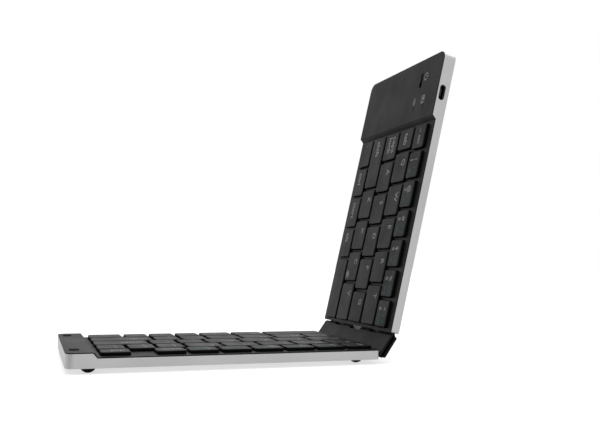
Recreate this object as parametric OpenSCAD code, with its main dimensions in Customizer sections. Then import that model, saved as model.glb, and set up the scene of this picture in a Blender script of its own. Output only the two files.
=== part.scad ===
// Folding keyboard: two thin trays of keys on a narrow two-axis hinge spine.
// Frame: +X to the typist's right, +Y to the rear edge, +Z up. The right half lies flat on
// its feet and the left half stands raised, as on a desk. The floor is at Z = 0, and X = 0
// and Y = 0 are the middle of the whole object seen from above.
// Each half is built in a frame of its own: X outward from its hinge axis, Y to the rear,
// Z from the underside of its tray.

/* [Halves] */
// Length of one half, from its hinge side to its outer end
half_len = 150; // [140:1:170]
// Depth from the front edge to the rear edge
depth = 92; // [88:1:104]
// Height of the key bed above the underside of the tray
bed_h = 4.8; // [4.8:0.1:5.6]
// Height of the raised end panels above the underside of the tray
panel_h = 7.0; // [6.8:0.1:8]
// Length of the left end panel, which covers the battery and the main board
left_panel_len = 35.8; // [35:0.5:44]
// Length of the right end panel
right_panel_len = 12.1; // [11:0.5:20]
// Length of the slope from an end panel down to the key bed
step_run = 1.9; // [1.2:0.1:3]
// Radius of the outer corners, seen from above
corner_r = 4.5; // [2.5:0.5:7]
// Radius of the corners beside the hinge, seen from above
hinge_corner_r = 1.2; // [0.8:0.1:2]

/* [Shells] */
// Thickness of the tray's floor
floor_t = 0.8; // [0.7:0.05:0.9]
// Thickness of the tray's walls
wall_t = 1.0; // [0.8:0.1:1.3]
// Thickness of the black deck
deck_t = 0.5; // [0.4:0.05:0.7]
// Height of the lip that keys the deck into the tray
lip_h = 0.9; // [0.5:0.1:1.2]
// Thickness of that lip
lip_t = 0.8; // [0.6:0.1:1]
// Clearance round the lip
lip_gap = 0.1; // [0.05:0.05:0.2]

/* [Keys] */
// Gap between neighbouring keys
key_gap = 2.0; // [1.6:0.1:2.6]
// Height of the key tops above the key bed
key_proud = 1.7; // [1.5:0.1:2]
// Depth of the key skirts below the key bed, with the keys up
key_sink = 0.6; // [0.4:0.1:0.7]
// Travel of a key
key_travel = 1.2; // [0.8:0.1:1.2]
// Clearance between a key and its opening
key_clear = 0.3; // [0.2:0.05:0.35]
// Radius of a key's corners, seen from above
key_r = 1.2; // [1:0.1:1.8]
// Chamfer round a key's top
key_ease = 0.35; // [0.2:0.05:0.5]
// Thickness of a key's side walls
key_wall = 0.8; // [0.6:0.05:1]
// Thickness of a key's top
key_top_t = 0.9; // [0.7:0.05:1.1]
// Margin from the rear edge to the cells of the keys
rear_margin = 3.8; // [2.8:0.1:4.5]
// Margin from the front edge to the cells of the keys
front_margin = 3.1; // [2.8:0.1:4]
// Margin from the hinge side to the cells of the keys
hinge_margin = 0.8; // [0.8:0.1:1.5]
// Margin from the foot of the slope to the cells of the keys
slope_margin = 0.7; // [0.4:0.1:2]

/* [Key support] */
// Thickness of the steel plate under the keys
plate_t = 0.4; // [0.3:0.05:0.45]
// Thickness of the printed contact sheet on the plate
sheet_t = 0.3; // [0.2:0.05:0.35]
// Gap between the edge of the plate and what surrounds it
plate_gap = 0.3; // [0.2:0.05:0.5]
// Radius of a rubber dome at its base
dome_r = 2.6; // [2:0.1:3]
// Radius of a rubber dome at its top
dome_top_r = 1.5; // [1:0.1:1.8]
// Thickness of a dome's skirt
dome_wall = 0.5; // [0.4:0.05:0.7]
// Gap between a dome and the key above it
dome_gap = 0.1; // [0.05:0.05:0.2]
// Radius of the posts that carry the plate
post_r = 2; // [1.5:0.1:2.5]
// Distance between those posts along the half
post_pitch = 36; // [30:1:45]

/* [Fold] */
// Angle from the flat half up to the spine
spine_lift = 55.5; // [10:0.5:85]
// Angle from the flat half up to the raised half
left_lift = 77.3; // [60:0.1:95]
// Distance from a hinge axis to the side of its half
hinge_gap = 2.3; // [2.2:0.1:3]
// Thickness of the spine
spine_t = 3.8; // [3.6:0.1:4]
// Thickness of the two spine covers
cover_t = 1.0; // [0.8:0.05:1.1]
// Gap between the end panels when the keyboard is shut
shut_gap = 0.5; // [0.5:0.1:1]
// Amount by which each end of the spine stops short of the halves' edges
spine_inset = 0.3; // [0.2:0.1:1]
// Depth of the groove between the spine covers
groove_d = 1.0; // [0.6:0.1:1.5]
// Amount by which the long edges of the back cover stop short of full round ones
back_short = 0.8; // [0.4:0.1:0.8]
// Clearance between the spine's round edges and the lips that hide the gaps beside them
bead_clear = 0.3; // [0.25:0.05:0.3]

/* [Hinges] */
// Distance of the hinges from the middle of the depth
station_y = 24; // [22:0.5:26]
// Width of a hinge leaf
leaf_w = 9; // [7:0.5:9]
// Length of a hinge leaf inside its half
leaf_len = 10.5; // [10:0.5:12]
// Thickness of a hinge leaf
leaf_t = 0.8; // [0.6:0.05:0.8]
// Radius of the hinge pins
pin_r = 0.5; // [0.4:0.05:0.5]
// Running clearance between a pin and the curl of a leaf
pin_clear = 0.05; // [0.03:0.01:0.08]
// Clearance of a pin in the spine
pin_fit = 0.02; // [0.01:0.01:0.03]
// Width of the spine lugs that hold a pin's ends
lug_w = 2.6; // [2:0.1:3]
// Clearance round a hinge leaf
leaf_clear = 0.3; // [0.2:0.05:0.4]

/* [Flat cable] */
// Width of the flat cable through the spine
flex_w = 12; // [8:0.5:14]
// Thickness of the flat cable
flex_t = 0.2; // [0.1:0.05:0.2]
// Clearance on each side of the flat cable
flex_clear = 0.5; // [0.3:0.1:0.8]
// Length of the cable's ends inside the halves
flex_end = 6.5; // [5:0.5:7]

/* [Feet, pads and screws] */
// Radius of a rubber foot
foot_r = 3.6; // [3.4:0.1:5.5]
// Height by which the feet stand out
foot_h = 2.5; // [1.5:0.1:3]
// Depth of a foot's seat in the tray's floor
foot_seat = 0.3; // [0.2:0.05:0.4]
// Clearance round a foot in its seat
foot_clear = 0.05; // [0.03:0.01:0.1]
// Depth of the flat worn on a foot's tip
foot_flat = 0.1; // [0.05:0.05:0.3]
// Distance of the outer feet from the outer end
foot_from_end = 10.3; // [9:0.1:14]
// Distance of the outer feet from the front and rear edges
foot_from_edge = 6.5; // [6.5:0.1:9]
// Distance of the inner feet from the hinge side
foot_from_hinge = 8; // [7:0.1:10]
// Distance of the inner feet from the front and rear edges
inner_foot_from_edge = 11; // [8:0.1:11.5]
// Radius of a round pad in the right end panel
pad_r = 2.2; // [1.5:0.1:3]
// Depth of a pad's seat
pad_seat = 0.25; // [0.15:0.05:0.3]
// Height by which a pad stands out
pad_proud = 0.4; // [0.1:0.05:0.4]
// Distance of the pads from the outer end
pad_from_end = 4.4; // [4.2:0.1:6]
// Distance of the pads from the front and rear edges
pad_from_edge = 12.5; // [10:0.5:20]
// Radius of a screw's shank
screw_r = 0.7; // [0.5:0.05:0.8]
// Radius of a countersunk screw head
head_r = 1.4; // [1.2:0.05:1.6]
// Height of a screw head
head_h = 0.7; // [0.5:0.05:0.7]
// Clearance of a screw in its holes
screw_fit = 0.05; // [0.03:0.01:0.1]
// Radius of the posts that take the panel screws
boss_r = 1.8; // [1.7:0.1:2]

/* [Electronics] */
// Length of the main board, along the keyboard
board_len = 28; // [27:0.5:29]
// Thickness of the main board
board_t = 0.8; // [0.6:0.05:1]
// Clearance between the board or battery and what surrounds it
inner_gap = 0.4; // [0.3:0.05:0.6]
// Length of the battery, along the keyboard
battery_len = 29; // [24:0.5:30]
// Thickness of the battery
battery_h = 3.8; // [3:0.1:4.2]
// Distance of the charging socket's middle from the outer end
usb_from_end = 22.8; // [20:0.1:24]
// Height of the charging socket's middle above the underside of the tray
usb_z = 3.9; // [3.7:0.1:4]
// Length of the socket's opening in the wall
usb_slot_len = 8.3; // [8.1:0.1:9]
// Height of the socket's opening in the wall
usb_slot_h = 3.3; // [3.2:0.1:3.6]
// Length of the socket's metal shell
usb_len = 7.5; // [7:0.1:7.6]
// Height of the socket's metal shell
usb_h = 2.6; // [2.4:0.1:2.7]
// Depth of the socket's metal shell
usb_d = 5.6; // [5:0.1:6]
// Distance of the switch's middle from the outer end
switch_from_end = 12.5; // [11.5:0.1:13.5]
// Distance of the switch's middle from the rear edge
switch_from_rear = 21.4; // [19:0.1:24]
// Length of the switch's slot
switch_slot_len = 8.3; // [8:0.1:9]
// Width of the switch's slot
switch_slot_w = 2.5; // [2.3:0.1:3]
// Length of the switch's knob
knob_len = 4.3; // [3.8:0.1:4.5]
// Travel of the switch's knob
knob_travel = 3.0; // [2:0.1:3]
// Clearance between the knob and its slot
knob_clear = 0.2; // [0.1:0.05:0.3]
// Length of the status light windows
led_len = 3.3; // [2.5:0.1:4]
// Width of the status light windows
led_w = 1.0; // [0.8:0.1:1.3]
// Clearance round a status light window
led_clear = 0.1; // [0.05:0.05:0.2]
// Distance of the first light's middle from the outer end
led_from_end = 28.5; // [27.5:0.1:29]
// Distances of the two lights' middles from the rear edge
led_from_rear = [13.2, 24.2]; // [10:0.1:26]

/* [Hidden] */
$fn = 48;
// Overlap between solids that are joined, and overrun of cuts
eps = 0.05;
over = 1;

// The keys in reading order, each with the width of its cell. An empty name is a bare
// place on the deck. Every row is stretched to the length of its bed, and the rows to
// the depth.
right_rows = [
    [["7", 14.3], ["8", 16], ["9", 16], ["0", 16], ["minus", 16], ["equals", 15.5],
        ["backspace", 15.4], ["", 10], ["delete", 15.3]],
    [["y", 16.8], ["u", 18.7], ["i", 18.7], ["o", 18.7], ["p", 18.7], ["open", 14.2],
        ["close", 14.1], ["backslash", 14.6]],
    [["h", 21.4], ["j", 18.8], ["k", 18.8], ["l", 18.8], ["semicolon", 14.4], ["quote", 14.2],
        ["enter", 28.1]],
    [["b", 16.9], ["n", 18.7], ["m", 18.7], ["comma", 18.7], ["stop", 14.5], ["slash", 14.4],
        ["shift", 32.6]],
    [["space", 35.5], ["alt", 19], ["ctrl", 18.6], ["left", 13.9], ["down", 14.6],
        ["up", 13.9], ["right", 19]]
];
left_rows = [
    [["esc", 14.9], ["1", 16.2], ["2", 16], ["3", 16], ["4", 16], ["5", 16], ["6", 15.7]],
    [["tab", 13.5], ["q", 18.6], ["w", 18.6], ["e", 18.6], ["r", 18.6], ["t", 22.9]],
    [["caps", 17.3], ["a", 18.7], ["s", 18.7], ["d", 18.7], ["f", 18.7], ["g", 18.7]],
    [["shift", 32.1], ["z", 18.6], ["x", 18.6], ["c", 18.6], ["v", 22.9]],
    [["fn", 17.6], ["ctrl", 18.3], ["meta", 19.3], ["alt", 18.6], ["space", 37]]
];
row_depths = [14.2, 17.6, 17.8, 17.7, 17.8];
letters = "abcdefghijklmnopqrstuvwxyz";
RIGHT = 0;
LEFT = 1;

// Heights in a half, above the underside of its tray
axis_h = bed_h / 2;
barrel_r = pin_r + pin_clear + leaf_t;
leaf_z = axis_h - barrel_r;
plate_rise = 0.1;
plate_z = leaf_z + leaf_t + plate_rise;
sheet_z = plate_z + plate_t;
support_z = sheet_z + sheet_t;
key_top = bed_h + key_proud;
key_z = bed_h - key_sink;
dome_h = key_top - key_top_t - dome_gap - support_z;
board_z = usb_z - usb_h / 2 - board_t;
panel_screw_len = 4;
panel_hole_top = 4.8;

// Places in a half, along its length
outer_x = hinge_gap + half_len;
step_angle = atan((panel_h - bed_h) / step_run);
function panel_len(side) = side == LEFT ? left_panel_len : right_panel_len;
function step_top(side) = outer_x - panel_len(side);
function step_foot(side) = step_top(side) - step_run;

// The two hinge axes, and the middle of the object
axis_span = 2 * (panel_h - axis_h) + shut_gap;
reach_left = axis_span * cos(spine_lift) + outer_x * cos(left_lift) + axis_h * sin(left_lift);
axis_x = (reach_left - outer_x) / 2;
axis_z = foot_h + axis_h;
spine_len = depth - 2 * spine_inset;
spine_r = spine_t / 2;
core_r = spine_r - cover_t;

// Cells of the keys
function rows(side) = side == LEFT ? left_rows : right_rows;
function total(v, n, i = 0) = i >= n ? 0 : v[i] + total(v, n, i + 1);
function widths(row) = [for (k = row) k[1]];
function bed_start() = hinge_gap + hinge_margin;
function bed_end(side) = step_foot(side) - slope_margin;
function row_scale(side, row) =
    (bed_end(side) - bed_start()) / total(widths(row), len(row));
function depth_scale() =
    (depth - rear_margin - front_margin) / total(row_depths, len(row_depths));

// A key's [side, name, middle X, middle Y, width, depth]
function key_cell(side, r, i) =
    let (row = rows(side)[r],
        s = row_scale(side, row),
        along = s * (total(widths(row), i) + row[i][1] / 2),
        down = depth_scale() * (total(row_depths, r) + row_depths[r] / 2))
    [side, row[i][0],
        side == LEFT ? bed_end(side) - along : bed_start() + along,
        depth / 2 - rear_margin - down,
        s * row[i][1] - key_gap,
        depth_scale() * row_depths[r] - key_gap];
function keys_of(side, first = 0, last = 4) =
    [for (r = [first:last]) for (i = [0:len(rows(side)[r]) - 1])
        if (rows(side)[r][i][0] != "") key_cell(side, r, i)];
function is_letter(name) = len(name) == 1 && len(search(name, letters)) > 0;
function key_named(name) =
    [for (side = [RIGHT, LEFT]) for (k = keys_of(side, 1)) if (k[1] == name) k][0];

// Places of the feet, screws, posts and pads, as [X, Y] in a half
function feet() = [for (s = [-1, 1]) each [
    [outer_x - foot_from_end, s * (depth / 2 - foot_from_edge)],
    [hinge_gap + foot_from_hinge, s * (depth / 2 - inner_foot_from_edge)]]];
leaf_screw_from_wall = 1;
leaf_screw_from_end = 2;
leaf_screw_x = [hinge_gap + wall_t + head_r + leaf_screw_from_wall,
    hinge_gap + leaf_len - leaf_screw_from_end];
function leaf_screws() = [for (s = [-1, 1]) for (x = leaf_screw_x) [x, s * station_y]];
// The battery lies at the front of the left panel and the board at its rear, with two
// screw posts between them
fill_from_wall = 2;
board_x = outer_x - wall_t - fill_from_wall - board_len;
mid_boss_from_rear = 40;
mid_boss_y = depth / 2 - mid_boss_from_rear;
board_y0 = mid_boss_y + boss_r + inner_gap;
board_y1 = depth / 2 - wall_t - inner_gap;
boss_from_lip = 0.6;
front_boss_y = -depth / 2 + wall_t + lip_gap + lip_t + boss_r + boss_from_lip;
battery_y0 = front_boss_y + boss_r + inner_gap;
battery_y1 = mid_boss_y - boss_r - inner_gap;
mid_boss_from_end = [8, 28];
front_boss_from_end = 22;
right_boss_from_end = 5.5;
right_boss_y = 20;
function bosses(side) = side == LEFT
    ? concat([for (e = mid_boss_from_end) [outer_x - e, mid_boss_y]],
        [[outer_x - front_boss_from_end, front_boss_y]])
    : [for (s = [-1, 1]) [outer_x - right_boss_from_end, s * right_boss_y]];
first_post = 22;
last_post = 8;
post_spread = 0.3;
post_row = post_spread * depth;
function posts(side) = [for (x = [hinge_gap + first_post : post_pitch : step_foot(side) - last_post])
    for (y = [-post_row, 0, post_row]) [x, y]];
board_post_r = 1.5;
board_post_in = 2;
board_posts = [for (x = [board_x + board_post_in, board_x + board_len - board_post_in])
    for (y = [board_y0 + board_post_in, board_y1 - board_post_in]) [x, y]];
// Chips on the board, each as [X, Y, length, width, height]
chips = [[4, 3, 6, 6, 0.9], [15, 2, 10, 7, 1.4]];
led_chip = [1.6, 0.8, 0.6];
pads = [for (s = [-1, 1]) [outer_x - pad_from_end, s * (depth / 2 - pad_from_edge)]];
switch_x = outer_x - switch_from_end;
switch_y = depth / 2 - switch_from_rear;
leds = [for (r = led_from_rear) [outer_x - led_from_end, depth / 2 - r]];
stations = [-station_y, station_y];

silver = "#c4c6c9";
black = "#3b3c3e";
key_black = "#38393b";
steel = "#9a9da1";
rubber = "#1b1b1c";

// ---- Frames ----
module at_right() translate([axis_x, 0, foot_h]) children();

module at_spine()
    translate([axis_x, 0, axis_z]) rotate([0, spine_lift, 0]) mirror([1, 0, 0]) children();

module at_left()
    translate([axis_x - axis_span * cos(spine_lift), 0, axis_z + axis_span * sin(spine_lift)])
        rotate([0, left_lift, 0]) mirror([1, 0, 0]) translate([0, 0, -axis_h]) children();

module at_side(side) {
    if (side == LEFT) at_left() children();
    else at_right() children();
}

// ---- Shared shapes ----
module rounded_rect(w, d, r) {
    square([w - 2 * r, d], center = true);
    square([w, d - 2 * r], center = true);
    for (x = [-1, 1], y = [-1, 1]) translate([x * (w / 2 - r), y * (d / 2 - r)]) circle(r);
}

// The same outline with each corner in short straight steps, for the openings in a deck
function stepped_corner(w, d, r, q) =
    let (x = (q == 0 || q == 3 ? 1 : -1) * (w / 2 - r), y = (q < 2 ? 1 : -1) * (d / 2 - r))
    [for (a = [0:22.5:90]) [x + r * cos(90 * q + a), y + r * sin(90 * q + a)]];
module opening(w, d, r) polygon([for (q = [0:3]) each stepped_corner(w, d, r, q)]);

// Outline of a half, seen from above, drawn in by inset
least_r = 0.3;
module half_plan(inset) {
    x0 = hinge_gap + inset;
    x1 = outer_x - inset;
    y1 = depth / 2 - inset;
    r0 = max(hinge_corner_r - inset, least_r);
    r1 = max(corner_r - inset, least_r);
    translate([x0 + r0, -y1]) square([x1 - x0 - r0 - r1, 2 * y1]);
    translate([x0, r0 - y1]) square([2 * r0, 2 * (y1 - r0)]);
    translate([x1 - 2 * r1, r1 - y1]) square([2 * r1, 2 * (y1 - r1)]);
    for (s = [-1, 1]) {
        translate([x0 + r0, s * (y1 - r0)]) circle(r0);
        translate([x1 - r1, s * (y1 - r1)]) circle(r1);
    }
}

// Side view of a half under its stepped top, with that top lowered by drop
module stepped_side(side, drop, grow = 0) {
    shift = drop * tan(step_angle / 2);
    polygon([
        [hinge_gap - grow, -grow],
        [outer_x + grow, -grow],
        [outer_x + grow, panel_h - drop],
        [step_top(side) + shift, panel_h - drop],
        [step_foot(side) + shift, bed_h - drop],
        [hinge_gap - grow, bed_h - drop]
    ]);
}

// Extrudes a side view over a width in Y
module across(width) rotate([90, 0, 0]) linear_extrude(width, center = true) children();

// A hole through the tray's floor for a countersunk screw
module screw_hole() {
    translate([0, 0, -over]) cylinder(floor_t + 2 * over, r = screw_r + screw_fit);
    translate([0, 0, -eps])
        cylinder(head_h + eps, r1 = head_r + screw_fit, r2 = screw_r + screw_fit);
}

// A countersunk screw with a cross recess
recess_d = 0.35;
recess_len = 1.5;
recess_w = 0.3;
module screw(length) difference() {
    union() {
        cylinder(head_h, r1 = head_r, r2 = screw_r);
        cylinder(length, r = screw_r);
    }
    for (a = [0, 90]) rotate(a) translate([0, 0, -eps])
        linear_extrude(recess_d + eps) square([recess_len, recess_w], center = true);
}

// ---- Trays ----
// Half the width of the gap that the tray leaves in its hinge side for the deck's skirt
skirt_half = depth / 2 - hinge_corner_r - wall_t;
module tray(side) {
    difference() {
        union() {
            difference() {
                intersection() {
                    linear_extrude(panel_h) half_plan(0);
                    across(depth + over) stepped_side(side, deck_t);
                }
                translate([0, 0, floor_t]) linear_extrude(panel_h) half_plan(wall_t);
                translate([hinge_gap - over, -skirt_half, floor_t])
                    cube([over + wall_t + eps, 2 * skirt_half, panel_h]);
            }
            // posts under the key plate
            for (p = posts(side)) translate([p[0], p[1], floor_t - eps])
                cylinder(plate_z - floor_t + eps, r = post_r);
            // raised seats under the hinge leaves
            for (y = stations)
                translate([hinge_gap, y - leaf_w / 2, floor_t - eps])
                    cube([leaf_len, leaf_w, leaf_z - floor_t + eps]);
        }
        for (p = feet()) translate([p[0], p[1], -eps])
            cylinder(foot_seat + eps, r = foot_r + foot_clear);
        for (p = concat(bosses(side), leaf_screws())) translate([p[0], p[1], 0]) {
            screw_hole();
            cylinder(leaf_z + eps, r = screw_r + screw_fit);
        }
    }
}

module right_tray() color(silver) at_right() tray(RIGHT);

module left_tray() color(silver) at_left() difference() {
    union() {
        tray(LEFT);
        // posts under the main board
        for (p = board_posts) translate([p[0], p[1], floor_t - eps])
            cylinder(board_z - floor_t + eps, r = board_post_r);
    }
    // opening of the charging socket, through the rear wall
    translate([outer_x - usb_from_end, depth / 2, usb_z]) rotate([90, 0, 0])
        linear_extrude(2 * (wall_t + eps), center = true)
            rounded_rect(usb_slot_len, usb_slot_h, usb_slot_h / 2 - eps);
}

// ---- Decks ----
// The lip ends short of the hinge side, and gives way round the charging socket
lip_end = 3;
usb_lip_cut = 3;
// Distance from the hinge axis down to the top of the hollow lip beside the spine
bead_drop = 0.7;
module deck_sheet(side) {
    intersection() {
        linear_extrude(panel_h) half_plan(0);
        across(depth + over) difference() {
            stepped_side(side, 0);
            stepped_side(side, deck_t, over);
        }
    }
    // lip inside the tray's walls
    intersection() {
        linear_extrude(panel_h) difference() {
            half_plan(wall_t + lip_gap);
            half_plan(wall_t + lip_gap + lip_t);
        }
        across(depth) difference() {
            stepped_side(side, deck_t / 2);
            stepped_side(side, deck_t + lip_h, over);
            translate([hinge_gap - over, -over]) square([over + lip_end, panel_h + 2 * over]);
        }
    }
    // skirt that closes the hinge side, down to the tray's floor, with a hollow lip that hides
    // the gap beside the spine
    across(2 * (skirt_half - lip_gap)) {
        translate([hinge_gap, floor_t + lip_gap])
            square([wall_t, bed_h - deck_t / 2 - floor_t - lip_gap]);
        difference() {
            translate([0, floor_t + lip_gap])
                square([hinge_gap + wall_t / 2, axis_h - floor_t - lip_gap - bead_drop]);
            translate([0, axis_h]) circle(spine_r + bead_clear);
        }
    }
    // posts for the panel screws
    for (p = bosses(side)) translate([p[0], p[1], floor_t])
        cylinder(panel_h - deck_t / 2 - floor_t, r = boss_r);
}

// Height of the window that the flat cable passes through
flex_window = 1.2;
slot_r = 0.4;
module deck_cuts(side) {
    // notches for the hinge leaves and a window for the flat cable, through the skirt
    for (y = stations) translate([hinge_gap - over, y - leaf_w / 2 - leaf_clear, floor_t])
        cube([wall_t + 2 * over, leaf_w + 2 * leaf_clear,
            leaf_z + leaf_t + leaf_clear / 2 - floor_t]);
    translate([hinge_gap - over, -flex_w / 2 - flex_clear, axis_h - flex_window / 2])
        cube([wall_t + 2 * over, flex_w + 2 * flex_clear, flex_window]);
    for (k = keys_of(side)) translate([k[2], k[3], 0]) linear_extrude(panel_h + over)
        opening(k[4] + 2 * key_clear, k[5] + 2 * key_clear, key_r + key_clear);
    for (p = bosses(side)) translate([p[0], p[1], 0])
        cylinder(panel_hole_top, r = screw_r + screw_fit / 2);
}

module right_deck() color(black) at_right() difference() {
    deck_sheet(RIGHT);
    deck_cuts(RIGHT);
    for (p = pads) translate([p[0], p[1], panel_h - pad_seat])
        cylinder(pad_seat + over, r = pad_r + foot_clear);
}

module left_deck() color(black) at_left() difference() {
    deck_sheet(LEFT);
    deck_cuts(LEFT);
    translate([switch_x, switch_y, panel_h - deck_t - over])
        linear_extrude(deck_t + 2 * over)
            rounded_rect(switch_slot_len, switch_slot_w, slot_r);
    for (p = leds) translate([p[0], p[1], panel_h - deck_t - over])
        linear_extrude(deck_t + 2 * over) rounded_rect(led_len, led_w, led_w / 2 - eps);
    usb_notch();
}

module usb_notch()
    translate([outer_x - usb_from_end - usb_slot_len / 2 - 1, depth / 2 - wall_t - usb_lip_cut, 0])
        cube([usb_slot_len + 2, usb_lip_cut, panel_h - deck_t]);

// ---- Key support ----
// Outline of the plate and of the sheet on it
module bed_plan(side, gap) {
    x0 = hinge_gap + wall_t + gap;
    x1 = step_foot(side) - gap;
    translate([x0, -depth / 2 + wall_t + gap]) square([x1 - x0, depth - 2 * (wall_t + gap)]);
}

module key_plate(side) translate([0, 0, plate_z]) difference() {
    linear_extrude(plate_t) bed_plan(side, plate_gap);
    // punched window at the middle of each key, under its dome
    for (k = keys_of(side)) translate([k[2], k[3], -over])
        cylinder(plate_t + 2 * over, r = dome_top_r);
}

module right_key_plate() color(steel) at_right() key_plate(RIGHT);

module left_key_plate() color(steel) at_left() key_plate(LEFT);

module contact_sheet(side) translate([0, 0, sheet_z])
    linear_extrude(sheet_t) bed_plan(side, 2 * plate_gap);

module right_contact_sheet() color("#4f5a52") at_right() contact_sheet(RIGHT);

// The left sheet has a tail that runs to the main board
tail_start = 3;
tail_y = 4;
module left_contact_sheet() color("#4f5a52") at_left() {
    contact_sheet(LEFT);
    translate([step_foot(LEFT) - tail_start, board_y0 + tail_y, sheet_z])
        cube([board_x - inner_gap - step_foot(LEFT) + tail_start, flex_w, sheet_t]);
}

// A dome stands on a flat rim
rim_t = 0.4;
rim_w = 0.2;
module dome() difference() {
    union() {
        cylinder(rim_t, r = dome_r);
        cylinder(dome_h, r1 = dome_r - rim_w, r2 = dome_top_r);
    }
    translate([0, 0, -eps])
        cylinder(dome_h - 2 * dome_wall, r1 = dome_r - rim_w - dome_wall,
            r2 = dome_top_r - dome_wall);
}

module domes(side)
    for (k = keys_of(side)) translate([k[2], k[3], support_z]) dome();

module right_domes() color("#d8d8d4") at_right() domes(RIGHT);

module left_domes() color("#d8d8d4") at_left() domes(LEFT);

// ---- Keys ----
// Two slopes at 45 degrees that meet far above the key, and chamfer the edges of its top
module key_roof(w) polygon([
    [-w / 2 - over, key_z - over], [w / 2 + over, key_z - over],
    [w / 2 + over, key_top - key_ease - over],
    [0, key_top - key_ease + w / 2],
    [-w / 2 - over, key_top - key_ease - over]
]);

module keycap(w, d) difference() {
    intersection() {
        translate([0, 0, key_z]) linear_extrude(key_top - key_z) rounded_rect(w, d, key_r);
        across(d + 2 * over) key_roof(w);
        rotate([90, 0, 90]) linear_extrude(w + 2 * over, center = true) key_roof(d);
    }
    translate([0, 0, key_z - over]) linear_extrude(key_top - key_top_t - key_z + over)
        rounded_rect(w - 2 * key_wall, d - 2 * key_wall, max(key_r - key_wall, least_r));
}

module key(k) color(key_black) at_side(k[0]) translate([k[2], k[3], 0]) keycap(k[4], k[5]);

module number_keys(side) for (k = keys_of(side, 0, 0)) key(k);

module side_keys(side) for (k = keys_of(side, 1)) if (!is_letter(k[1])) key(k);

module letter_key(name) key(key_named(name));

// ---- Hinge ----
// A leaf: a flat strip whose end is curled round the pin, with a slit where the curl meets
// the strip. Drawn along X from the axis.
curl_slit = 0.2;
module leaf() translate([0, 0, axis_h]) difference() {
    union() {
        across(leaf_w) circle(barrel_r);
        translate([0, -leaf_w / 2, -barrel_r]) cube([hinge_gap + leaf_len, leaf_w, leaf_t]);
    }
    across(leaf_w + over) circle(pin_r + pin_clear);
    translate([0, -leaf_w / 2 - over, leaf_t - barrel_r])
        cube([barrel_r + over, leaf_w + 2 * over, curl_slit]);
}

module hinge_leaves() for (y = stations) difference() {
    translate([0, y, 0]) leaf();
    for (x = leaf_screw_x) translate([x, y, 0])
        cylinder(axis_h, r = screw_r + screw_fit / 2);
}

module right_hinge_leaves() color(steel) at_right() hinge_leaves();

module left_hinge_leaves() color(steel) at_left() hinge_leaves();

// Side view of the spine: a bar with full round edges, one on each hinge axis
module spine_side(r) {
    translate([0, -r]) square([axis_span, 2 * r]);
    for (x = [0, axis_span]) translate([x, 0]) circle(r);
}

// Room for a curled leaf and for its swing towards the front, as a side view at one axis
notch_r = barrel_r + leaf_clear;
module notch_side() polygon(concat(
    [for (a = [-90:10:90]) [notch_r * cos(a), notch_r * sin(a)]],
    [[0, spine_t], [-spine_r - over, spine_t], [-spine_r - over, -notch_r]]));
module station_cuts() for (y = stations) translate([0, y, 0]) across(leaf_w + 2 * leaf_clear) {
    notch_side();
    translate([axis_span, 0]) mirror([1, 0]) notch_side();
}

// Room for the flat cable to bend at each axis, and to pass through the core
flex_past = 0.4;
flex_slot = 2 * flex_t + 0.2;
module flex_cuts() {
    for (x = [-spine_r - over, axis_span - flex_past])
        translate([x, -flex_w / 2 - flex_clear, -flex_t])
            cube([spine_r + over + flex_past, flex_w + 2 * flex_clear, spine_t]);
    translate([-spine_r, -flex_w / 2 - flex_clear, -flex_slot / 2])
        cube([axis_span + spine_t, flex_w + 2 * flex_clear, flex_slot]);
}

module spine_core() color(rubber) at_spine() difference() {
    across(spine_len - 2 * groove_d) spine_side(core_r);
    station_cuts();
    flex_cuts();
    for (x = [0, axis_span], y = stations) translate([x, y, 0])
        across(leaf_w + 2 * (leaf_clear + lug_w)) circle(pin_r + pin_fit);
}

// A cover of the spine, in front or behind, whose long edges reach past the hinge axes
module cover(sign, reach) difference() {
    across(spine_len) difference() {
        spine_side(spine_r);
        translate([-spine_t, sign > 0 ? -spine_t : -core_r])
            square([axis_span + 2 * spine_t, spine_t + core_r]);
        for (x = [-spine_t - reach, axis_span + reach])
            translate([x, -spine_t]) square([spine_t, 2 * spine_t]);
    }
    station_cuts();
}

module spine_front_cover() color(black) at_spine() difference() {
    cover(1, spine_r + over);
    flex_cuts();
}

module spine_back_cover() color(black) at_spine() cover(-1, spine_r - back_short);

pin_short = 0.4;
module hinge_pins() color(steel) at_spine()
    for (x = [0, axis_span], y = stations) translate([x, y, 0])
        across(leaf_w + 2 * (leaf_clear + lug_w) - pin_short) circle(pin_r);

// The cable runs from on top of one contact sheet down to the hinge axis, through the spine,
// and up again on the other half, as a path in a side view of the whole object
function right_point(x, z) = [axis_x + x, axis_z + z - axis_h];
function left_point(x, z) = [
    axis_x - axis_span * cos(spine_lift) - x * cos(left_lift) + (z - axis_h) * sin(left_lift),
    axis_z + axis_span * sin(spine_lift) + x * sin(left_lift) + (z - axis_h) * cos(left_lift)];
flex_lead = 0.3;
flex_rise_x = hinge_gap + wall_t + 2 * plate_gap + flex_lead;
flex_lift = 0.05;
flex_z = support_z + flex_lift + flex_t / 2;
flex_path = [
    right_point(hinge_gap + flex_end, flex_z), right_point(flex_rise_x, flex_z),
    right_point(0, axis_h), left_point(0, axis_h),
    left_point(flex_rise_x, flex_z), left_point(hinge_gap + flex_end, flex_z)
];
// A corner of a strip of thickness t along a path, on its side s (1 or -1)
function turned(v) = [-v[1], v[0]] / norm(v);
function strip_corner(path, i, t, s) =
    let (n1 = turned(path[max(i, 1)] - path[max(i, 1) - 1]),
        last = min(i + 1, len(path) - 1),
        n2 = turned(path[last] - path[last - 1]),
        n = (n1 + n2) / norm(n1 + n2))
    path[i] + s * t / 2 / (n * n1) * n;
flex_count = len(flex_path);

module flat_cable() color("#b5743a") across(flex_w) polygon([
    for (i = [0:flex_count - 1]) strip_corner(flex_path, i, flex_t, 1),
    for (i = [flex_count - 1:-1:0]) strip_corner(flex_path, i, flex_t, -1)
]);

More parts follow.
